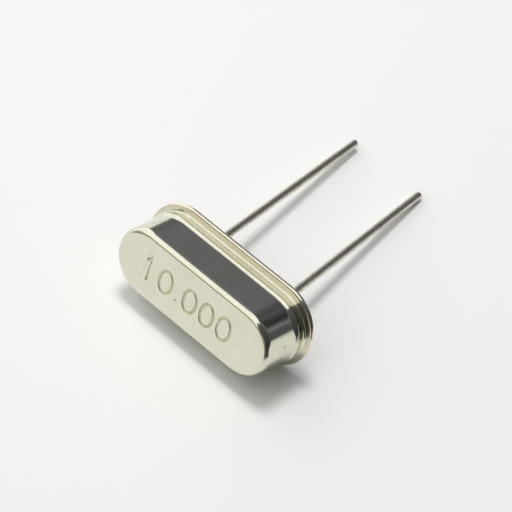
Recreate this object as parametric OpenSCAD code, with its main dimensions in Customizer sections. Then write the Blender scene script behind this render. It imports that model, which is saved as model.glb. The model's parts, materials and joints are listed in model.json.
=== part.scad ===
// Low-profile two-lead quartz crystal in a drawn metal can.
//
// The crystal is drawn upright first: the seating face of the base at z = 0, the can above it,
// the leads below it, x along the long side. lying() then lays it down as it rests on a table,
// on the long edge of its flange and the tips of its two bent leads. The origin is under the
// middle of the lying crystal's box, on the table. All sizes are in millimetres.

/* [Can] */
// Length of the can's body over its rounded ends
can_l = 10.25; // [8:0.05:14]
// Width of the can's body
can_w = 3.75; // [3:0.05:6]
// Height of the can's top above the seating face
can_h = 3.25; // [2.5:0.05:6]
// Thickness of the can's wall and top
can_wall = 0.15; // [0.1:0.01:0.25]
// Outside radius where the wall turns into the top
edge_r = 0.31; // [0.26:0.01:0.5]
// How far the bead above the flange stands out from the wall
bead_out = 0.09; // [0.04:0.01:0.15]
// Height of the crest of the bead above the seating face
bead_z = 1; // [0.85:0.05:1.3]
// Height of the slope above the crest of the bead
bead_slope_h = 0.19; // [0.1:0.01:0.3]
// Radius inside the can where the wall runs out into the flange
inner_flare_r = 0.25; // [0.1:0.01:0.3]
// Thickness of the can's flange at its outer edge
can_flange_t = 0.15; // [0.12:0.01:0.2]
// How much thicker the flange is where it leaves the wall
can_flange_rise = 0.1; // [0:0.01:0.15]
// Rounding of the upper edge of the can's flange
lip_r = 0.06; // [0.03:0.01:0.08]
// Radius of the inner corner between the bead and the flange
root_r = 0.09; // [0.04:0.01:0.12]

/* [Base] */
// How far the flange stands out beyond the can's wall
flange_reach = 0.35; // [0.28:0.01:0.4]
// Thickness of the base's flange
base_flange_t = 0.28; // [0.2:0.01:0.5]
// Rounding of the stamped edges of both flanges
flange_edge_r = 0.07; // [0.03:0.01:0.08]
// Height of the raised middle of the base above its flange
boss_h = 0.55; // [0.3:0.01:0.8]
// Clearance between the raised middle and the can's wall
boss_gap = 0.12; // [0.05:0.01:0.3]
// Rounding of the top edge of the raised middle
boss_edge_r = 0.12; // [0.05:0.01:0.2]

/* [Leads and seals] */
// Distance between the two leads
pitch = 4.88; // [3.5:0.01:6]
// Diameter of the lead wire
lead_d = 0.43; // [0.3:0.01:0.6]
// How far the tips of the leads lie below the seating face
lead_l = 13.33; // [5:0.01:20]
// Diameter of the glass seals
seal_d = 1.3; // [1:0.05:1.7]
// How far the glass stays back from both faces of the base
seal_recess = 0.05; // [0:0.01:0.1]
// Straight stretch of each lead below the seating face, before its bend
bend_start = 0.35; // [0.1:0.05:2]
// Bend radius at the middle of the wire
bend_r = 1.5; // [0.6:0.1:3]
// How far the left lead is bent to the left, in degrees
sway_left = 5.8; // [0:0.1:10]
// How far the right lead is bent to the left, in degrees
sway_right = 6.9; // [0:0.1:10]
// How far the left lead is bent up from the table, in degrees
lift_left = 5.1; // [0:0.1:8]
// How far the right lead is bent up from the table, in degrees
lift_right = 4.3; // [0:0.1:8]
// Chamfer around the cut end of each lead
tip_chamfer = 0.04; // [0.01:0.01:0.08]
// Diameter of the flattened head of each lead inside the can
head_d = 0.8; // [0.65:0.05:1]
// Thickness of the flattened head
head_t = 0.12; // [0.08:0.01:0.2]
// Gap between the raised middle of the base and the heads of the leads
head_gap = 0.15; // [0.1:0.01:0.3]

/* [Crystal element] */
// Frequency of the crystal in megahertz, which sets the thickness of the blank
frequency = 10; // [6:0.5:30]
// Width of the quartz blank
blank_w = 1.8; // [1.2:0.05:2.2]
// Gap between each end of the blank and the inside of the can
blank_end_gap = 0.85; // [0.6:0.05:1.2]
// Length of the electrode's pad in the middle of the blank
pad_l = 4; // [2:0.1:5]
// Width of the electrode's pad
pad_w = 1.3; // [0.8:0.05:1.7]
// Width of the strip that leads from the pad to the end of the blank
strip_w = 0.5; // [0.3:0.05:0.8]
// Thickness of the silver electrodes
film_t = 0.02; // [0.01:0.005:0.03]

/* [Clips] */
// Thickness of the clip's sheet
clip_t = 0.1; // [0.06:0.01:0.15]
// Width of the clips
clip_w = 0.9; // [0.7:0.05:1.5]
// How far the shelf of the clip lies above its foot
clip_rise = 0.4; // [0.25:0.01:0.6]
// Length of the clip's shelf under the end of the blank
shelf_l = 0.7; // [0.5:0.05:1]
// Thickness of the adhesive between the shelf and the blank
glue_t = 0.05; // [0.03:0.01:0.1]
// Radius of each drop of conductive adhesive on its shelf
glue_r = 0.5; // [0.4:0.05:0.6]
// How far each drop of adhesive stands up over the blank
glue_cover = 0.14; // [0.1:0.01:0.2]
// How far the middle of each drop lies in from the clip's end stop
glue_inset = 0.25; // [0.2:0.01:0.3]
// Gap between the end of the blank and the clip's end stop
stop_gap = 0.1; // [0.05:0.01:0.15]

/* [Hidden] */
// Frequency in megahertz times thickness in millimetres of a blank that vibrates in thickness shear
SHEAR_CONSTANT = 1.661;
ROUND = 64;
OVER = 1;                              // how far a cutter runs past what it cuts
SETTLE_STEPS = 40;

// The can and the base are both swept around one straight spine, and every radius is
// measured from it: half a turn at each end, straight between the ends.
can_r = can_w / 2;
spine = (can_l - can_w) / 2;
flange_r = can_r + flange_reach;
seam_z = base_flange_t;                // where the can's flange meets the base's
lip_z = seam_z + can_flange_t;          // top of the can's flange at its outer edge
root_z = lip_z + can_flange_rise;      // where the top of the flange meets the wall
boss_r = can_r - can_wall - boss_gap;
base_top = base_flange_t + boss_h;

// Leads
lead_r = lead_d / 2;
head_z = base_top + head_gap;          // underside of the heads
lead_top = head_z + head_t;
SIDES = [-1, 1];                       // left, right
function sway(side) = side < 0 ? sway_left : sway_right;
function lift(side) = side < 0 ? lift_left : lift_right;
// A lead bends once, towards the left (-x) and towards +y: the heading and the angle of that bend
function heading(side) = atan2(tan(lift(side)), -tan(sway(side)));
function bend(side) = atan(norm([tan(sway(side)), tan(lift(side))]));
function straight_l(side) = (lead_l - bend_start - bend_r * sin(bend(side))) / cos(bend(side));
function tip_out(side) = bend_r * (1 - cos(bend(side))) + straight_l(side) * sin(bend(side));

// Clips, blank, electrodes and adhesive
shelf_z = lead_top + clip_rise + clip_t;          // top of the shelf
blank_z = shelf_z + glue_t + film_t;              // underside of the blank
blank_t = SHEAR_CONSTANT / frequency;
blank_l = can_l - 2 * can_wall - 2 * blank_end_gap;
clip_out = blank_l / 2 + stop_gap;                // inner face of each clip's end stop
riser_x = blank_l / 2 - shelf_l;                  // where each clip steps up
foot_l = riser_x - pitch / 2 + head_d / 2;
glue_x = clip_out - glue_inset;
glue_h = glue_t + film_t + blank_t + glue_cover;  // height of each drop above its shelf
glue_ball_r = (pow(glue_r, 2) + pow(glue_h, 2)) / (2 * glue_h);

// Rest: the crystal tips until the lower edge of the flange and the tips of the leads are level.
// level() is the height of the flange above the tips when the can's top is tilted up by a degrees.
function tip_low(side, a) =
    tip_out(side) * sin(heading(side)) * cos(a) - lead_l * sin(a)
    - lead_r * sqrt(1 - pow(sin(bend(side)) * sin(heading(side)) * cos(a) - cos(bend(side)) * sin(a), 2));
function flange_low(a) =
    -(flange_r - flange_edge_r) * cos(a) + flange_edge_r * sin(a) - flange_edge_r;
function level(a) = flange_low(a) - min(tip_low(-1, a), tip_low(1, a));
function settle(low, high, steps) =
    let (middle = (low + high) / 2)
    steps == 0 ? middle :
    level(middle) > 0 ? settle(low, middle, steps - 1) : settle(middle, high, steps - 1);
rest_tilt = settle(0, 60, SETTLE_STEPS);
function tip_far(side) =
    tip_out(side) * sin(heading(side)) * sin(rest_tilt) + lead_l * cos(rest_tilt)
    + lead_r * sqrt(1 - pow(sin(bend(side)) * sin(heading(side)) * sin(rest_tilt)
                            + cos(bend(side)) * cos(rest_tilt), 2));
front_y = -(can_r - edge_r) * sin(rest_tilt) - (can_h - edge_r) * cos(rest_tilt) - edge_r;
back_y = max(tip_far(-1), tip_far(1));

// Lays the upright crystal down on the table
module lying() {
    translate([0, -(front_y + back_y) / 2, -flange_low(rest_tilt)])
        rotate([90 - rest_tilt, 0, 0])
            children();
}

// Sweeps a half section, drawn in radius and height, around the spine
module around_spine() {
    for (side = SIDES)
        translate([side * spine, 0, 0])
            rotate([0, 0, -90 * side])
                rotate_extrude(angle = 180, $fn = ROUND) children();
    translate([-spine, 0, 0])
        rotate([90, 0, 90])
            linear_extrude(2 * spine) {
                children();
                mirror([1, 0]) children();
            }
}

// What is cut off to round an outer corner that points to +x, +y
module corner_cut(r) {
    difference() {
        translate([-r, -r]) square(2 * r);
        translate([-r, -r]) circle(r, $fn = ROUND);
    }
}

// What is added to fill an inner corner whose walls run to +x and +y
module corner_fill(r) {
    difference() {
        square(r);
        translate([r, r]) circle(r, $fn = ROUND);
    }
}

// The bead pressed into the wall above the flange: a short slope down to its crest, then a long
// slope back in. It reaches in to the axis, where the wall's own section covers it.
module bead_shape() {
    polygon([
        [0, bead_z + bead_slope_h], [can_r, bead_z + bead_slope_h],
        [can_r + 0.9 * bead_out, bead_z + 0.15 * bead_slope_h], [can_r + bead_out, bead_z],
        [can_r + 0.9 * bead_out, bead_z - 0.15 * bead_slope_h], [can_r, root_z], [0, root_z]
    ]);
}

module can_outside_section() {
    difference() {
        union() {
            translate([0, seam_z]) square([can_r, can_h - seam_z]);
            bead_shape();
            translate([0, seam_z]) square([flange_r, can_flange_t]);
            polygon([[0, lip_z], [flange_r - lip_r, lip_z], [can_r, root_z], [0, root_z]]);
            translate([can_r, root_z]) corner_fill(root_r);
        }
        translate([can_r, can_h]) corner_cut(edge_r);
        translate([flange_r, lip_z]) corner_cut(lip_r);
        translate([flange_r, seam_z]) mirror([0, 1]) corner_cut(flange_edge_r);
    }
}

module can_inside_section() {
    difference() {
        translate([-OVER, seam_z - OVER])
            square([can_r - can_wall + OVER, can_h - can_wall - seam_z + OVER]);
        translate([can_r - can_wall, can_h - can_wall]) corner_cut(edge_r - can_wall);
    }
    translate([-can_wall, 0]) bead_shape();
    translate([can_r - can_wall, seam_z]) corner_fill(inner_flare_r);
}

module can() {
    color([0.80, 0.79, 0.74])
        around_spine()
            difference() {
                can_outside_section();
                can_inside_section();
            }
}

module base_section() {
    difference() {
        square([flange_r, base_flange_t]);
        translate([flange_r, base_flange_t]) corner_cut(flange_edge_r);
        translate([flange_r, 0]) mirror([0, 1]) corner_cut(flange_edge_r);
    }
    difference() {
        translate([0, base_flange_t / 2]) square([boss_r, base_top - base_flange_t / 2]);
        translate([boss_r, base_top]) corner_cut(boss_edge_r);
    }
}

module base() {
    color([0.86, 0.80, 0.66])
        difference() {
            around_spine() base_section();
            for (side = SIDES)
                translate([side * pitch / 2, 0, -OVER])
                    cylinder(d = seal_d, h = base_top + 2 * OVER, $fn = ROUND);
        }
}

module glass_seal(side) {
    color([0.25, 0.32, 0.30])
        translate([side * pitch / 2, 0, seal_recess])
            difference() {
                cylinder(d = seal_d, h = base_top - 2 * seal_recess, $fn = ROUND);
                translate([0, 0, -OVER])
                    cylinder(d = lead_d, h = base_top + 2 * OVER, $fn = ROUND);
            }
}

// The bent end of a lead, from the start of its bend to its cut tip, bending towards +x
module bent_end(side) {
    turn = bend(side);
    run = straight_l(side);
    translate([bend_r, 0, 0])
        rotate([90, 180, 0])
            rotate_extrude(angle = turn, $fn = ROUND)
                translate([bend_r, 0]) circle(lead_r, $fn = ROUND);
    translate([bend_r * (1 - cos(turn)), 0, -bend_r * sin(turn)])
        rotate([0, -turn, 0])
            translate([0, 0, -run]) {
                translate([0, 0, tip_chamfer])
                    cylinder(r = lead_r, h = run - tip_chamfer, $fn = ROUND);
                cylinder(r1 = lead_r - tip_chamfer, r2 = lead_r, h = tip_chamfer, $fn = ROUND);
            }
}

module lead(side) {
    color([0.72, 0.72, 0.71])
        translate([side * pitch / 2, 0, 0]) {
            translate([0, 0, -bend_start])
                cylinder(r = lead_r, h = bend_start + head_z, $fn = ROUND);
            translate([0, 0, head_z]) cylinder(d = head_d, h = head_t, $fn = ROUND);
            translate([0, 0, -bend_start])
                rotate([0, 0, heading(side)])
                    bent_end(side);
        }
}

// A sheet clip: a foot welded to the head of the lead, a riser, and a shelf with an end stop.
// Drawn for the right side.
module clip_right_hand() {
    rotate([90, 0, 0])
        translate([0, 0, -clip_w / 2])
            linear_extrude(clip_w)
                polygon([
                    [riser_x - foot_l, lead_top],
                    [riser_x + clip_t, lead_top],
                    [riser_x + clip_t, shelf_z - clip_t],
                    [clip_out + clip_t, shelf_z - clip_t],
                    [clip_out + clip_t, blank_z + blank_t],
                    [clip_out, blank_z + blank_t],
                    [clip_out, shelf_z],
                    [riser_x, shelf_z],
                    [riser_x, lead_top + clip_t],
                    [riser_x - foot_l, lead_top + clip_t]
                ]);
}

// The clip, the drop of adhesive and the electrode of the left side are mirrored copies
module on_side(side) {
    if (side < 0) mirror([1, 0, 0]) children();
    else children();
}

module clip(side) {
    color([0.70, 0.71, 0.72]) on_side(side) clip_right_hand();
}

module blank_block() {
    translate([-blank_l / 2, -blank_w / 2, blank_z]) cube([blank_l, blank_w, blank_t]);
}

module quartz_blank() {
    color([0.86, 0.90, 0.92]) blank_block();
}

// An electrode: a pad in the middle and a strip to the end of the blank on one side
module electrode(side, z) {
    color([0.88, 0.88, 0.90])
        translate([0, 0, z])
            on_side(side)
                linear_extrude(film_t) {
                    translate([-pad_l / 2, -pad_w / 2]) square([pad_l, pad_w]);
                    translate([0, -strip_w / 2]) square([blank_l / 2, strip_w]);
                }
}

module electrode_top() electrode(1, blank_z + blank_t);
module electrode_bottom() electrode(-1, blank_z - film_t);

// A drop of adhesive on the shelf, which wraps the end of the blank and of its electrode
module adhesive(side) {
    color([0.62, 0.60, 0.56])
        difference() {
            on_side(side)
                intersection() {
                    translate([glue_x, 0, shelf_z + glue_h - glue_ball_r])
                        sphere(glue_ball_r, $fn = ROUND);
                    translate([glue_x - glue_r, -glue_r, shelf_z])
                        cube([glue_r + glue_inset, 2 * glue_r, 2 * glue_h]);
                }
            blank_block();
            electrode_top();
            electrode_bottom();
        }
}

lying() can();
lying() base();
lying() glass_seal(-1);  // glass_seal_left
lying() glass_seal(1);  // glass_seal_right
lying() lead(-1);  // lead_left
lying() lead(1);  // lead_right
lying() clip(-1);  // clip_left
lying() clip(1);  // clip_right
lying() quartz_blank();
lying() electrode_top();
lying() electrode_bottom();
lying() adhesive(-1);  // adhesive_left
lying() adhesive(1);  // adhesive_right
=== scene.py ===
import json
import math

import bpy
from mathutils import Matrix, Vector


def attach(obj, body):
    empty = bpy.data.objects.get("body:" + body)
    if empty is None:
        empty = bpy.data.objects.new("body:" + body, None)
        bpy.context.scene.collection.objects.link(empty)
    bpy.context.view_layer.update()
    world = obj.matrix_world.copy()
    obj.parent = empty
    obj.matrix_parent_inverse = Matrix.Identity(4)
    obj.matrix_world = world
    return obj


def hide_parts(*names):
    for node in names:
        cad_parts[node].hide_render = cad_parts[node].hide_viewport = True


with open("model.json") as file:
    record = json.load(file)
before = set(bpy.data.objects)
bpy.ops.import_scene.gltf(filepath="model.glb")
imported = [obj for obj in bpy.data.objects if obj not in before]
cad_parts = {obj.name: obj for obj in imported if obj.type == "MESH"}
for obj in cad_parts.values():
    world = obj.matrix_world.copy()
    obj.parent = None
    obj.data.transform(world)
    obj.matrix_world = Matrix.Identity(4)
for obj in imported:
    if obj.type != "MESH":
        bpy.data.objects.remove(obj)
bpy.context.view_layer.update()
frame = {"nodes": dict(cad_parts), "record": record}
MM = 0.001

# ---------------------------------------------------------------- where the crystal lies
# The crystal's own axes: along its long side, across it, and from the leads to the can's top.
MOUNTS = {mount["name"]: mount for mount in frame["record"]["mounts"]}
SEAT = Vector(MOUNTS["seating_face"]["pos_m"])
UPWARD = -Vector(MOUNTS["seating_face"]["axis"])
LENGTHWISE = Vector((1, 0, 0))
ACROSS = UPWARD.cross(LENGTHWISE)
LYING = Matrix.Translation(SEAT) @ Matrix((LENGTHWISE, ACROSS, UPWARD)).transposed().to_4x4()


def upright_box(node):
    """Lowest and highest corner of a CAD node in the crystal's own axes, in millimetres."""
    back = LYING.inverted()
    corners = [back @ v.co for v in frame["nodes"][node].data.vertices]
    low = Vector([min(c[i] for c in corners) for i in range(3)])
    high = Vector([max(c[i] for c in corners) for i in range(3)])
    return low / MM, high / MM


# ---------------------------------------------------------------- sizes, in millimetres
base_high = upright_box("base")[1]
can_low, can_high = upright_box("can")
FLANGE_R = base_high.y                    # measured from the spine, which runs down the middle
SPINE = base_high.x - FLANGE_R            # half of the straight length
SEAM_Z = can_low.z                        # where the two flanges meet
CAN_TOP = can_high.z
BASE_TOP = base_high.z
FLANGE_REACH = 0.35                       # how far the flange stands out from the wall
CAN_R = FLANGE_R - FLANGE_REACH
CAN_WALL = 0.15
EDGE_R = 0.31
FLARE_TOP = 1.21                          # where the wall starts to run out into the flange
# The wall runs out in two stages with a shoulder between: the radius of each bend (hollow, full,
# hollow), the way it faces afterwards in degrees, and the straight stretch that follows it
FLARE_BENDS = ((0.2, 31, 0.13), (-0.07, -14, 0.355), (0.12, 85, 0.0))
LIP_R = 0.035
INNER_FLARE_R = 0.25
FLANGE_EDGE_R = 0.1
BASE_EDGE_R = 0.135
BOSS_GAP = 0.27                           # from the outside of the can to the base's boss
BOSS_R = CAN_R - BOSS_GAP
BOSS_EDGE_R = 0.12
CAN_HOLD = 0.04                           # narrow strips beside the bends keep the shading crisp
BASE_HOLD = 0.03
SEAL_R = 0.65
SEAL_RECESS = 0.05                        # how far the glass sinks between its edges
SEAL_CREEP = 0.045
SEAL_STEPS = 8
LEAD_R = MOUNTS["lead_pin_left"]["dims"]["r_mm"]
PITCH = 4.88
BEND_START = 0.35
BEND_R = 1.5
HEAD_R = 0.4                              # the flattened head of each lead
HEAD_T = 0.12
TIP_CHAMFER = 0.04
TURN_STEPS = 72                           # columns round each rounded end
TOOL_R = 0.1                              # the rounded tool that scores the number
TOOL_Z = CAN_TOP + 0.058
# The number on the face: heights are from the spine, and widths from the middle of each sign
ONE_FLAG = (-0.24, 0.44)                  # the free end of the one's flag
ONE_TOP, ONE_FOOT = 0.74, -0.70
NOUGHT_HALF_WIDTH = 0.41
NOUGHT_SHOULDER = 0.57
NOUGHT_STRETCH = 0.18
NOUGHT_MIDDLE = 0.02
NOUGHT_WAIST = 0.03                       # what lies further out is drawn apart
POINT_Y, POINT_HALF_WIDTH = -0.50, 0.07

# ---------------------------------------------------------------- modelling by hand


def select_none():
    if bpy.context.object and bpy.context.object.mode != "OBJECT":
        bpy.ops.object.mode_set(mode="OBJECT")
    bpy.ops.object.select_all(action="DESELECT")


def finished(name):
    """Leaves edit mode, names the piece and lays it down with the crystal."""
    piece = bpy.context.object
    if piece.mode != "OBJECT":
        bpy.ops.object.mode_set(mode="OBJECT")
    piece.name = piece.data.name = name
    piece.data.transform(LYING)
    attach(piece, "root")
    return piece


def arc(centre, radius, start, end, steps):
    """Points along an arc of a section, with angles in degrees from the outward direction."""
    turns = [math.radians(start + (end - start) * i / steps) for i in range(steps + 1)]
    return [(centre[0] + radius * math.cos(t), centre[1] + radius * math.sin(t)) for t in turns]


def pen(points):
    """Draws an open line in edit mode: one vertex, extruded from point to point."""
    points = [Vector(p) * MM for p in points]
    select_none()
    bpy.ops.mesh.primitive_plane_add(size=MM, location=points[0])
    bpy.ops.object.transform_apply(location=True)
    bpy.ops.object.mode_set(mode="EDIT")
    bpy.ops.mesh.select_all(action="SELECT")
    bpy.ops.mesh.merge(type="CENTER")
    for here, there in zip(points, points[1:]):
        bpy.ops.mesh.extrude_vertices_move(TRANSFORM_OT_translate={"value": there - here})
    bpy.ops.mesh.select_all(action="SELECT")


def close_up(distance=1e-7):
    bpy.ops.mesh.select_all(action="SELECT")
    bpy.ops.mesh.remove_doubles(threshold=distance)
    bpy.ops.mesh.normals_make_consistent(inside=False)


def sweep_round_spine(section):
    """Sweeps a section of (radius, height) points round the spine: an end, a side, an end, a side."""
    pen([(SPINE, -r, z) for r, z in section])
    for end in (1, -1):
        centre = (end * SPINE * MM, 0, 0)
        bpy.ops.mesh.spin(steps=TURN_STEPS, angle=-math.pi, center=centre, axis=(0, 0, 1))
        side = Vector((-end * 2 * SPINE * MM, 0, 0))
        bpy.ops.mesh.extrude_region_move(TRANSFORM_OT_translate={"value": side})
    close_up()


def pick(test):
    """Selects the vertices whose place, in millimetres, passes a test."""
    bpy.ops.mesh.select_mode(type="VERT")
    bpy.ops.mesh.select_all(action="DESELECT")
    bpy.ops.object.mode_set(mode="OBJECT")
    for vertex in bpy.context.object.data.vertices:
        vertex.select = test(vertex.co / MM)
    bpy.ops.object.mode_set(mode="EDIT")


def cap(height, reach, hold):
    """Closes the open rim at a height with a flat face, and a narrow strip just inside the rim."""
    def on_rim(p):
        along = max(abs(p.x) - SPINE, 0)
        return abs(p.z - height) < 1e-4 and abs(math.hypot(along, p.y) - reach) < 2e-3
    pick(on_rim)
    bpy.ops.mesh.edge_face_add()
    bpy.ops.mesh.inset(thickness=hold * MM, depth=0)


def smooth(piece, angle):
    select_none()
    piece.select_set(True)
    bpy.context.view_layer.objects.active = piece
    bpy.ops.object.shade_smooth_by_angle(angle=math.radians(angle))


def carve(piece, cutter, materials=False):
    """Cuts one solid out of another and throws the cutter away."""
    select_none()
    bpy.context.view_layer.objects.active = piece
    cut = piece.modifiers.new("carve", "BOOLEAN")
    cut.operation, cut.object, cut.solver = "DIFFERENCE", cutter, "EXACT"
    if materials:
        cut.material_mode = "TRANSFER"
    bpy.ops.object.modifier_apply(modifier=cut.name)
    bpy.data.objects.remove(cutter)


# ---------------------------------------------------------------- shader maths


class Wire:
    """A shader socket that can be added, multiplied and so on like a number."""

    def __init__(self, tree, socket):
        self.tree, self.socket = tree, socket

    def node(self, kind, settings=None, out=0, **sockets):
        made = self.tree.nodes.new(kind)
        for name, value in (settings or {}).items():
            if name == "stops":
                ramp = made.color_ramp
                while len(ramp.elements) > 1:
                    ramp.elements.remove(ramp.elements[-1])
                while len(ramp.elements) < len(value):
                    ramp.elements.new(0.5)
                for element, (place, colour) in zip(ramp.elements, value):
                    element.position, element.color = place, (*colour, 1)
            else:
                setattr(made, name, value)
        for name, value in sockets.items():
            key = int(name[1:]) if name[0] == "i" and name[1:].isdigit() else name.replace("_", " ")
            if isinstance(value, Wire):
                self.tree.links.new(value.socket, made.inputs[key])
            else:
                made.inputs[key].default_value = value
        return Wire(self.tree, made.outputs[out])

    def maths(self, operation, other, turned=False):
        first, second = (other, self) if turned else (self, other)
        return self.node("ShaderNodeMath", {"operation": operation}, i0=first, i1=second)

    def __add__(self, other):
        return self.maths("ADD", other)

    def __sub__(self, other):
        return self.maths("SUBTRACT", other)

    def __mul__(self, other):
        return self.maths("MULTIPLY", other)

    def __truediv__(self, other):
        return self.maths("DIVIDE", other)

    def __pow__(self, other):
        return self.maths("POWER", other)

    def __rsub__(self, other):
        return self.maths("SUBTRACT", other, turned=True)

    def within(self, low, high):
        """0 at low and below, 1 at high and above, smooth between."""
        settings = {"interpolation_type": "SMOOTHSTEP"}
        return self.node("ShaderNodeMapRange", settings, Value=self, From_Min=low, From_Max=high)

    def blend(self, first, second):
        """first where this is 0 and second where it is 1."""
        mix = self.tree.nodes.new("ShaderNodeMix")
        mix.data_type = "RGBA"
        self.tree.links.new(self.socket, mix.inputs[0])
        for key, value in ((6, first), (7, second)):
            if isinstance(value, Wire):
                self.tree.links.new(value.socket, mix.inputs[key])
            else:
                mix.inputs[key].default_value = (*value, 1)
        return Wire(self.tree, mix.outputs[2])


def new_material(name):
    """A material with a Principled shader, and the piece's own coordinates turned upright."""
    material = bpy.data.materials.new(name)
    material.use_nodes = True
    tree = material.node_tree
    shader = tree.nodes["Principled BSDF"]
    start = Wire(tree, tree.nodes.new("ShaderNodeTexCoord").outputs["Object"])
    turn = LYING.inverted().to_euler()
    shift = LYING.inverted().translation
    # millimetres in the crystal's own axes
    upright = start.node("ShaderNodeMapping", {"vector_type": "POINT"}, Vector=start,
                         Location=shift / MM, Rotation=turn, Scale=(1 / MM, 1 / MM, 1 / MM))
    return material, shader, upright


def axes(place):
    """The x, y and z of a place."""
    x = place.node("ShaderNodeSeparateXYZ", None, 0, Vector=place)
    return [Wire(x.tree, socket) for socket in x.socket.node.outputs]


def feed(wire, shader, name):
    wire.tree.links.new(wire.socket, shader.inputs[name])


def noise(place, scale, detail, roughness=0.5, distortion=0.0, stretch=(1, 1, 1)):
    """A noise over the crystal's own axes: scale is in features per millimetre."""
    if stretch != (1, 1, 1):
        place = place.node("ShaderNodeMapping", None, Vector=place, Scale=stretch)
    return place.node("ShaderNodeTexNoise", None, Vector=place, Scale=scale, Detail=detail,
                      Roughness=roughness, Distortion=distortion)


def bump(shader, height, strength, distance):
    made = height.node("ShaderNodeBump", None, Strength=strength, Distance=distance * MM,
                       Height=height)
    feed(made, shader, "Normal")


def metal(name, light, dark, roughness, grain, stretch=(1, 1, 1), wear_and_painted_shade=None):
    """Bare metal: soft blotches of tarnish, fine grain and a satin gloss."""
    material, shader, place = new_material(name)
    shader.inputs["Metallic"].default_value = 1
    blotch = noise(place, 0.7, 5, 0.6).within(0.35, 0.7)
    fine = noise(place, grain, 3, 0.7, stretch=stretch)
    mottle = noise(place, 6.5, 2, 0.6).within(0.3, 0.7)
    tint = (blotch * 0.25 + fine * 0.25 + mottle * 0.35).within(0.0, 0.9)
    colour = tint.blend(light, dark)
    # on the can this adds stains, knocks, and a tan tint on the flange that is partly painted shade
    if wear_and_painted_shade:
        colour = wear_and_painted_shade(place, colour)
    feed(colour, shader, "Base Color")
    feed(fine * 0.06 + blotch * 0.03 + (roughness - 0.04), shader, "Roughness")
    bump(shader, fine, 0.15, 0.002)
    return material


def marks(place, colour, spots, mark):
    """Small worn spots: each is a place in millimetres, a size across it and a strength."""
    for spot, size, strength in spots:
        shifted = place.node("ShaderNodeMapping", None, Vector=place,
                             Location=[-c / r for c, r in zip(spot, size)], Scale=[1 / r for r in size])
        far = shifted.node("ShaderNodeVectorMath", {"operation": "LENGTH"}, 1, i0=shifted)
        rough_edge = far + noise(place, 12, 2) * 0.6 - 0.3
        colour = ((1 - rough_edge.within(0.5, 1.1)) * strength).blend(colour, mark)
    return colour


FACE_STAINS = [((-3.0, 0.84, CAN_TOP), (0.10, 0.05, 0.3), 0.7),
               ((3.87, -0.87, CAN_TOP), (0.10, 0.04, 0.3), 0.35),
               ((4.2, -0.87, CAN_TOP), (0.05, 0.06, 0.3), 0.5),
               ((4.35, -0.78, CAN_TOP), (0.12, 0.03, 0.3), 0.3)]
END_KNOCK = [((5.07, 0.45, 1.9), (0.3, 0.10, 0.16), 0.6)]


def can_wear_and_painted_shade(place, colour):
    """Heat tint and painted shade: a tan tint over the flange towards the rim, standing in for its dim
    reflection; and a few small knocks and stains.
    """
    x, y, height = axes(place)
    past_spine = (x.maths("ABSOLUTE", 0.0) - SPINE).maths("MAXIMUM", 0.0)
    out = (past_spine ** 2 + y ** 2) ** 0.5 - CAN_R
    cloud = noise(place, 1.6, 4, 0.6)
    # painted shade: the flange darkens to tan out towards the rim, in place of its dim reflection, and
    # as heat tint from the weld
    heat_tint_and_shade = (out + (cloud - 0.5) * 0.12).within(0.06, 0.22) * (1 - height.within(0.5, 0.7))
    heat_tint_and_shade = heat_tint_and_shade * (cloud.within(0.25, 0.6) * 0.4 + 0.6)
    colour = heat_tint_and_shade.blend(colour, (0.66, 0.61, 0.47))
    colour = marks(place, colour, FACE_STAINS, mark=(0.60, 0.53, 0.36))
    return marks(place, colour, END_KNOCK, mark=(0.42, 0.42, 0.38))


# ---------------------------------------------------------------- materials


def can_metal():
    return metal("can_metal", light=(0.79, 0.78, 0.65), dark=(0.68, 0.675, 0.545),
                 roughness=0.12, grain=22, wear_and_painted_shade=can_wear_and_painted_shade)


def burnt_groove():
    return metal("burnt_groove", light=(0.68, 0.66, 0.48), dark=(0.50, 0.48, 0.34),
                 roughness=0.45, grain=30)


def base_metal():
    return metal("base_metal", light=(0.93, 0.89, 0.77), dark=(0.82, 0.75, 0.60),
                 roughness=0.14, grain=16)


def lead_metal():
    return metal("lead_metal", light=(0.82, 0.79, 0.69), dark=(0.58, 0.54, 0.44),
                 roughness=0.42, grain=14, stretch=(6, 6, 0.5))


def seal_glass():
    material, shader, place = new_material("seal_glass")
    swirl = noise(place, 5, 4, 0.6, 0.6).within(0.3, 0.75)
    feed(swirl.blend((0.035, 0.06, 0.055), (0.09, 0.13, 0.12)), shader, "Base Color")
    feed(swirl * 0.08 + 0.08, shader, "Roughness")
    shader.inputs["IOR"].default_value = 1.52
    shader.inputs["Coat Weight"].default_value = 0.5
    bump(shader, swirl, 0.1, 0.01)
    return material


def quartz():
    material, shader, place = new_material("quartz")
    frost = noise(place, 9, 5, 0.6).within(0.35, 0.7)
    feed(frost.blend((0.90, 0.93, 0.94), (0.78, 0.83, 0.85)), shader, "Base Color")
    feed(frost * 0.25 + 0.1, shader, "Roughness")
    shader.inputs["IOR"].default_value = 1.54
    shader.inputs["Transmission Weight"].default_value = 0.7
    bump(shader, frost, 0.15, 0.003)
    return material


def silver_film():
    return metal("silver_film", light=(0.95, 0.94, 0.92), dark=(0.85, 0.83, 0.80),
                 roughness=0.18, grain=18)


def clip_metal():
    return metal("clip_metal", light=(0.74, 0.73, 0.70), dark=(0.58, 0.56, 0.52),
                 roughness=0.3, grain=12, stretch=(0.5, 4, 4))


def silver_adhesive():
    material, shader, place = new_material("silver_adhesive")
    flakes = noise(place, 25, 3, 0.7).within(0.35, 0.65)
    feed(flakes.blend((0.52, 0.50, 0.47), (0.74, 0.73, 0.70)), shader, "Base Color")
    feed(flakes * 0.4, shader, "Metallic")
    feed(0.7 - flakes * 0.25, shader, "Roughness")
    bump(shader, flakes, 0.5, 0.01)
    return material


# ---------------------------------------------------------------- the can


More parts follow.
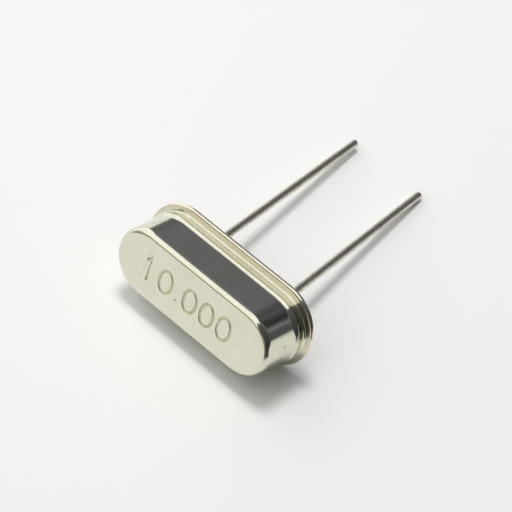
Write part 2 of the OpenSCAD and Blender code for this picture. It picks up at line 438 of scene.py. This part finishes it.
def can_section():
    """From the rim of the flat top, down the outside, round the flange and up the inside."""
    inner_r = CAN_R - CAN_WALL
    corner = EDGE_R - CAN_WALL
    section = arc((CAN_R - EDGE_R, CAN_TOP - EDGE_R), EDGE_R, 90, 0, 12)
    section += [(CAN_R, CAN_TOP - EDGE_R - CAN_HOLD), (CAN_R, FLARE_TOP + CAN_HOLD)]
    facing = 0.0
    for radius, towards, stretch in FLARE_BENDS:
        r, z = section[-1] if facing else (CAN_R, FLARE_TOP)
        lean = math.radians(facing)
        centre = (r + radius * math.cos(lean), z + radius * math.sin(lean))
        turn = 180 if radius > 0 else 0
        bend = arc(centre, abs(radius), facing + turn, towards + turn, 7)
        section += bend if not facing else bend[1:]
        facing = towards
        lean = math.radians(facing)
        if stretch:
            r, z = section[-1]
            section.append((r + stretch * math.sin(lean), z - stretch * math.cos(lean)))
    # the last stretch reaches as far as the rim's own rounding
    r, z = section[-1]
    reach = FLANGE_R - LIP_R + LIP_R * math.cos(lean) - r
    z -= reach / math.tan(lean)
    section += arc((FLANGE_R - LIP_R, z - LIP_R * math.sin(lean)), LIP_R, facing, 0, 5)
    section += arc((FLANGE_R - FLANGE_EDGE_R, SEAM_Z + FLANGE_EDGE_R), FLANGE_EDGE_R, 0, -90, 4)
    section += arc((inner_r + INNER_FLARE_R, SEAM_Z + INNER_FLARE_R), INNER_FLARE_R, 270, 180, 6)
    section += arc((inner_r - corner, CAN_TOP - EDGE_R), corner, 0, 90, 4)
    return section


def draw_one(x):
    """A one: a short flag and a long stroke, in millimetres on the can's top."""
    pen([(x + ONE_FLAG[0], ONE_FLAG[1], TOOL_Z), (x, ONE_TOP, TOOL_Z), (x, ONE_FOOT, TOOL_Z)])


def draw_nought(x):
    """A nought: a circle drawn out into an oval with fuller shoulders."""
    select_none()
    bpy.ops.mesh.primitive_circle_add(vertices=44, radius=NOUGHT_HALF_WIDTH * MM,
                                      location=(x * MM, NOUGHT_MIDDLE * MM, TOOL_Z * MM))
    bpy.ops.object.transform_apply(location=True)
    bpy.ops.object.mode_set(mode="EDIT")
    for up in (1, -1):
        pick(lambda p: p.y * up > NOUGHT_WAIST)
        bpy.ops.transform.resize(value=(1, NOUGHT_SHOULDER / NOUGHT_HALF_WIDTH, 1))
        bpy.ops.transform.translate(value=(0, up * NOUGHT_STRETCH * MM, 0))


def draw_point(x):
    pen([(x - POINT_HALF_WIDTH, POINT_Y, TOOL_Z), (x + POINT_HALF_WIDTH, POINT_Y, TOOL_Z)])


# the number, sign by sign, and how far along the face each stands
NUMBER = [(draw_one, -2.90), (draw_nought, -1.73), (draw_point, -0.88),
          (draw_nought, -0.07), (draw_nought, 1.09), (draw_nought, 2.26)]


def round_tool():
    """Turns the line just drawn into a round rod, which scores the metal when it is cut away."""
    bpy.ops.object.mode_set(mode="OBJECT")
    bpy.ops.object.convert(target="CURVE")
    rod = bpy.context.object.data
    rod.bevel_depth, rod.bevel_resolution, rod.use_fill_caps = TOOL_R * MM, 3, True
    bpy.ops.object.convert(target="MESH")
    bpy.ops.object.mode_set(mode="EDIT")
    close_up(1e-8)
    bpy.ops.object.mode_set(mode="OBJECT")
    return bpy.context.object


def make_can():
    sweep_round_spine(can_section())
    for height in (CAN_TOP, CAN_TOP - CAN_WALL):
        cap(height, CAN_R - EDGE_R, CAN_HOLD)
    close_up()
    bpy.ops.object.mode_set(mode="OBJECT")
    can = bpy.context.object
    can.data.materials.append(can_metal())
    groove = burnt_groove()
    for draw, x in NUMBER:
        draw(x)
        tool = round_tool()
        tool.data.materials.append(groove)
        carve(can, tool, materials=True)
    bpy.context.view_layer.objects.active = can
    can = finished("can_shell")
    smooth(can, 30)
    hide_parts("can")


# ---------------------------------------------------------------- the base and its glass


def make_base():
    section = (
        arc((FLANGE_R - BASE_EDGE_R, BASE_EDGE_R), BASE_EDGE_R, -90, 0, 6)
        + arc((FLANGE_R - BASE_EDGE_R, SEAM_Z - BASE_EDGE_R), BASE_EDGE_R, 0, 90, 6)
        + [(BOSS_R, SEAM_Z)]
        + arc((BOSS_R - BOSS_EDGE_R, BASE_TOP - BOSS_EDGE_R), BOSS_EDGE_R, 0, 90, 5)
    )
    sweep_round_spine(section)
    for height, reach in ((0, FLANGE_R - BASE_EDGE_R), (BASE_TOP, BOSS_R - BOSS_EDGE_R)):
        cap(height, reach, BASE_HOLD)
    close_up()
    bpy.ops.object.mode_set(mode="OBJECT")
    base = bpy.context.object
    base.data.materials.append(base_metal())
    for side in (-1, 1):
        select_none()
        bpy.ops.mesh.primitive_cylinder_add(vertices=64, radius=SEAL_R * MM, depth=3 * MM,
                                            location=(side * PITCH / 2 * MM, 0, 0))
        bpy.ops.object.transform_apply(location=True)
        carve(base, bpy.context.object)
    bpy.context.view_layer.objects.active = base
    base = finished("base_plate")
    smooth(base, 30)
    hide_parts("base")


def make_seal(side, name):
    """A glass bead that creeps up the wire and the rim of its hole on both faces."""
    section = []
    for i in range(SEAL_STEPS + 1):
        r = LEAD_R + (SEAL_R - LEAD_R) * i / SEAL_STEPS
        dip = math.cos(math.pi * (2 * i / SEAL_STEPS - 1) / 2)
        section.append((r, SEAL_RECESS - SEAL_CREEP + SEAL_CREEP * dip))
    section += [(r, BASE_TOP - z) for r, z in reversed(section)]
    x = side * PITCH / 2
    pen([(x + r, 0, z) for r, z in section + section[:1]])
    bpy.ops.mesh.spin(steps=64, angle=math.tau, center=(x * MM, 0, 0), axis=(0, 0, 1))
    close_up()
    bpy.ops.object.mode_set(mode="OBJECT")
    bpy.context.object.data.materials.append(seal_glass())
    bead = finished("glass_bead_" + name)
    smooth(bead, 50)
    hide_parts("glass_seal_" + name)


# ---------------------------------------------------------------- the leads


def make_lead(side, name):
    """A round wire: head, straight stretch through the glass, bend, straight stretch, cut tip."""
    head_top = upright_box("lead_" + name)[1].z
    mount = MOUNTS["lead_pin_" + name]
    along = LYING.to_3x3().inverted() @ Vector(mount["axis"])
    run = mount["dims"]["length_mm"]
    flat = Vector((along.x, along.y, 0))
    turn = math.atan2(flat.length, -along.z)
    towards = flat.normalized()
    x = side * PITCH / 2
    select_none()
    bpy.ops.mesh.primitive_circle_add(vertices=32, radius=LEAD_R * MM, fill_type="NGON",
                                      location=(x * MM, 0, head_top * MM))
    bpy.ops.object.transform_apply(location=True)
    bpy.ops.object.mode_set(mode="EDIT")
    bpy.ops.mesh.select_all(action="SELECT")
    grow = HEAD_R / LEAD_R
    bpy.ops.transform.resize(value=(grow, grow, 1))

    def push(vector):
        bpy.ops.mesh.extrude_region_move(TRANSFORM_OT_translate={"value": Vector(vector) * MM})
    push((0, 0, -HEAD_T))
    push((0, 0, 0))
    bpy.ops.transform.resize(value=(1 / grow, 1 / grow, 1))
    push((0, 0, -(head_top - HEAD_T + BEND_START)))
    centre = Vector((x, 0, -BEND_START)) + towards * BEND_R
    axis = Vector((0, 0, -1)).cross(towards)
    bpy.ops.mesh.spin(steps=8, angle=-turn, center=centre * MM, axis=axis)
    push(along * (run - TIP_CHAMFER))
    push(along * TIP_CHAMFER)
    narrow = 1 - TIP_CHAMFER / LEAD_R
    bpy.ops.transform.resize(value=(narrow, narrow, narrow))
    close_up(1e-9)
    bpy.ops.object.mode_set(mode="OBJECT")
    bpy.context.object.data.materials.append(lead_metal())
    wire = finished("wire_" + name)
    smooth(wire, 40)
    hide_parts("lead_" + name)


make_can()
make_base()
for side, name in ((-1, "left"), (1, "right")):
    make_seal(side, name)
    make_lead(side, name)

# ---------------------------------------------------------------- the sealed inside keeps its CAD shape
INSIDE = {"quartz_blank": quartz, "electrode_top": silver_film, "electrode_bottom": silver_film,
          "clip_left": clip_metal, "clip_right": clip_metal,
          "adhesive_left": silver_adhesive, "adhesive_right": silver_adhesive}
finishes = {}
for node, finish in INSIDE.items():
    finishes.setdefault(finish, finish())
    solid = frame["nodes"][node].data
    solid.materials.clear()
    solid.materials.append(finishes[finish])

# ---------------------------------------------------------------- floor, light, camera


def make_floor():
    select_none()
    bpy.ops.mesh.primitive_plane_add(size=8)
    floor = bpy.context.object
    floor.name = "floor"
    material = bpy.data.materials.new("pale_paper")
    material.use_nodes = True
    shader = material.node_tree.nodes["Principled BSDF"]
    shader.inputs["Base Color"].default_value = FLOOR_COLOUR
    shader.inputs["Roughness"].default_value = 0.9
    shader.inputs["Specular IOR Level"].default_value = 0.1
    floor.data.materials.append(material)


def direction(azimuth, elevation):
    """A unit vector: azimuth 0 is +Y and 90 is +X."""
    a, e = math.radians(azimuth), math.radians(elevation)
    return Vector((math.sin(a) * math.cos(e), math.cos(a) * math.cos(e), math.sin(e)))


# The dark cloth behind and to the right of the table. Each pair is an azimuth or an elevation in
# degrees and a value: how high it hangs, where its leaning left edge is, and how light it is.
# Its tone changes along its length, and one stripe of it is much lighter.
DOME_R = 0.3                              # metres: the cloth hangs this far from the table
CLOTH_TOP = [(-100, 60), (-77, 65.5), (-66, 66), (-50, 69), (-25, 74), (30, 77), (80, 76),
             (150, 65), (170, 52), (177, 36), (180, 0)]
CLOTH_EDGE = [(0, -47), (14, -46.5), (24, -44), (45, -50), (62, -65), (66, -85)]
CLOTH_TONE = [(-60, 0.165), (-28, 0.185), (-12, 0.095), (-3, 0.078), (6, 0.10), (14, 0.075),
              (22, 0.038), (28, 0.04), (33, 0.14), (36, 0.36), (39, 0.14), (44, 0.13), (60, 0.06),
              (100, 0.07), (180, 0.07)]
CLOTH_BLUE = 1.15
# The rail in front of the table, in metres
RAIL_R = 0.05
RAIL_HEIGHT = 0.017
RAIL_GAP = (-115, 150)                    # it is open between these azimuths
RAIL_COLOUR = (0.36, 0.345, 0.23, 1)
# A painted dark reflection, on a sheet that only the metal sees. It fades with its distance from a
# corner, in millimetres, and between four azimuths
DARK_REFLECTION_SIZE = 0.58                           # metres
DARK_REFLECTION_HEIGHT = 0.0002
DARK_REFLECTION_CORNER = (5.2, -7.3)
DARK_REFLECTION_SECTOR = (85, 100, 160, 175)
DARK_REFLECTION_REACH = 45
DARK_REFLECTION_TONE = [(0, 0.30), (3.3, 0.30), (6.3, 0.17), (10, 0.09), (45, 0.08)]
# The lamps and the room
LAMP_DISTANCE = 0.27                      # metres
LAMP_COLOUR = (1.0, 0.995, 0.98)
ROOM_COLOUR = (1.0, 1.0, 0.985, 1)
ROOM_STRENGTH = 1.17
FLOOR_COLOUR = (0.83, 0.83, 0.826, 1)


def bare_material(name):
    """A material with no shader yet, and a wire that carries the piece's own coordinates."""
    material = bpy.data.materials.new(name)
    material.use_nodes = True
    tree = material.node_tree
    tree.nodes.clear()
    return material, Wire(tree, tree.nodes.new("ShaderNodeTexCoord").outputs["Object"])


def show(shader):
    """Joins a shader to the output of its material."""
    out = shader.tree.nodes.new("ShaderNodeOutputMaterial")
    shader.tree.links.new(shader.socket, out.inputs["Surface"])


def show_where(mask, tone, strength=1.0):
    """A glow of a tone where the mask is 1, and nothing at all where it is 0."""
    light = tone.node("ShaderNodeEmission", None, Color=tone, Strength=strength)
    clear = tone.node("ShaderNodeBsdfTransparent")
    show(mask.node("ShaderNodeMixShader", None, i0=mask, i1=clear, i2=light))


def ramp(place, stops):
    """A colour that follows a value through a list of stops."""
    return place.node("ShaderNodeValToRGB", {"stops": stops}, Fac=place)


def as_part(azimuth):
    """An azimuth in degrees as a part of the way round, from 0 at -180 to 1 at 180."""
    return azimuth / 360 + 0.5


def azimuth_of(x, y):
    """The azimuth of a place, as a part of the way round."""
    return x.maths("ARCTAN2", y) / math.tau + 0.5


def cloth():
    """A dull glow where the cloth hangs, and nothing at all elsewhere."""
    material, place = bare_material("dark_cloth")
    x, y, z = axes(place)
    around = azimuth_of(x, y)
    rise = z / DOME_R
    height = rise.node("ShaderNodeMath", {"operation": "ARCSINE"}, i0=rise) / (math.pi / 2)
    top = ramp(around, [(as_part(azimuth), [up / 90] * 3) for azimuth, up in CLOTH_TOP])
    edge = ramp(height, [(up / 90, [as_part(azimuth)] * 3) for up, azimuth in CLOTH_EDGE])
    tones = [(as_part(azimuth), (tone, tone, tone * CLOTH_BLUE)) for azimuth, tone in CLOTH_TONE]
    hangs = (top - height).within(-0.02, 0.02) * (around - edge).within(-0.005, 0.005)
    show_where(hangs, ramp(around, tones), height.within(0.0, 0.8) * 0.8 + 0.6)
    return material


def make_cloth():
    """Half a dome over the table, which the metal reflects and the camera does not see."""
    select_none()
    bpy.ops.mesh.primitive_uv_sphere_add(segments=96, ring_count=48, radius=DOME_R)
    dome = bpy.context.object
    bpy.ops.object.mode_set(mode="EDIT")
    pick(lambda p: p.z < -1)
    bpy.ops.mesh.delete(type="VERT")
    bpy.ops.object.mode_set(mode="OBJECT")
    dome.name = "dark_cloth"
    dome.data.materials.append(cloth())
    dome.visible_camera = False
    smooth(dome, 180)


def make_rail():
    """A low grey rail in front of the table, which the metal reflects just above the floor."""
    select_none()
    bpy.ops.mesh.primitive_cylinder_add(vertices=180, radius=RAIL_R, depth=RAIL_HEIGHT,
                                        end_fill_type="NOTHING", location=(0, 0, RAIL_HEIGHT / 2))
    bpy.ops.object.transform_apply(location=True)
    rail = bpy.context.object
    bpy.ops.object.mode_set(mode="EDIT")
    pick(lambda p: RAIL_GAP[0] < math.degrees(math.atan2(p.x, p.y)) < RAIL_GAP[1])
    bpy.ops.mesh.delete(type="VERT")
    bpy.ops.object.mode_set(mode="OBJECT")
    rail.name = "grey_rail"
    material, start = bare_material("grey_card")
    show(start.node("ShaderNodeEmission", None, Color=RAIL_COLOUR))
    rail.data.materials.append(material)
    rail.visible_camera = False


def painted_dark_reflection():
    """A painted dark reflection: a glow that fades with distance from the can's right end, within a
    sector of the sheet.
    """
    material, place = bare_material("painted_dark_reflection")
    x, y, _ = axes(place)
    across, along = x - DARK_REFLECTION_CORNER[0] * MM, y - DARK_REFLECTION_CORNER[1] * MM
    away = (across * across + along * along) ** 0.5 / (DARK_REFLECTION_REACH * MM)
    around = azimuth_of(across, along)
    begin, full, wane, end = [as_part(azimuth) for azimuth in DARK_REFLECTION_SECTOR]
    sector = around.within(begin, full) * (1 - around.within(wane, end))
    tone = ramp(away, [(distance / DARK_REFLECTION_REACH, [tone] * 3) for distance, tone in DARK_REFLECTION_TONE])
    show_where(sector * away.within(0.12, 0.2), tone)
    return material


def make_painted_dark_reflection():
    """A sheet beyond the can's right end, just above the floor, which only the metal reflects: it
    paints a dark reflection into that end.
    """
    select_none()
    bpy.ops.mesh.primitive_plane_add(size=DARK_REFLECTION_SIZE, location=(0, 0, DARK_REFLECTION_HEIGHT))
    bpy.ops.object.transform_apply(location=True)
    reflection_sheet = bpy.context.object
    reflection_sheet.name = "painted_dark_reflection"
    reflection_sheet.data.materials.append(painted_dark_reflection())
    reflection_sheet.visible_camera = False
    reflection_sheet.visible_diffuse = False
    reflection_sheet.visible_shadow = False


def soft_lamp(name, way, size, energy):
    """A round diffused lamp that lights the table but is not mirrored by the metal."""
    lamp = bpy.data.lights.new(name, "AREA")
    lamp.shape, lamp.size, lamp.energy = "DISK", size, energy
    lamp.color = LAMP_COLOUR
    holder = bpy.data.objects.new(name, lamp)
    holder.location = way * LAMP_DISTANCE
    holder.rotation_mode = "QUATERNION"
    holder.rotation_quaternion = way.to_track_quat("Z", "Y")
    holder.visible_glossy = False
    bpy.context.scene.collection.objects.link(holder)


def make_lights():
    world = bpy.data.worlds.new("room")
    bpy.context.scene.world = world
    world.use_nodes = True
    back = world.node_tree.nodes["Background"]
    back.inputs["Color"].default_value = ROOM_COLOUR
    back.inputs["Strength"].default_value = ROOM_STRENGTH
    soft_lamp("softbox", direction(-62, 76), size=0.09, energy=0.35)
    soft_lamp("fill", direction(160, 55), size=0.24, energy=0.07)


AIM = Vector((-1.0005, -2.1287, 1.261)) * MM
CAMERA_DISTANCE = 171.2
CAMERA_ROLL = 9.83
SENSOR = 36
LENS_IN_SENSORS = 6.640625                # how many times as long as the sensor is wide


def make_camera():
    """Looks down on the crystal from the front right, a little rolled, through a long lens."""
    way = -direction(-36.98, -46.97)
    lens = bpy.data.cameras.new("camera")
    lens.sensor_width, lens.lens = SENSOR, SENSOR * LENS_IN_SENSORS
    lens.clip_start, lens.clip_end = 0.01, 20
    camera = bpy.data.objects.new("camera", lens)
    camera.location = AIM + way * CAMERA_DISTANCE * MM
    camera.rotation_mode = "QUATERNION"
    roll = Matrix.Rotation(math.radians(CAMERA_ROLL), 4, "Z").to_quaternion()
    camera.rotation_quaternion = way.to_track_quat("Z", "Y") @ roll
    bpy.context.scene.collection.objects.link(camera)
    bpy.context.scene.camera = camera


make_floor()
make_cloth()
make_rail()
make_painted_dark_reflection()
make_lights()
make_camera()
bpy.context.scene.view_settings.view_transform = "Standard"
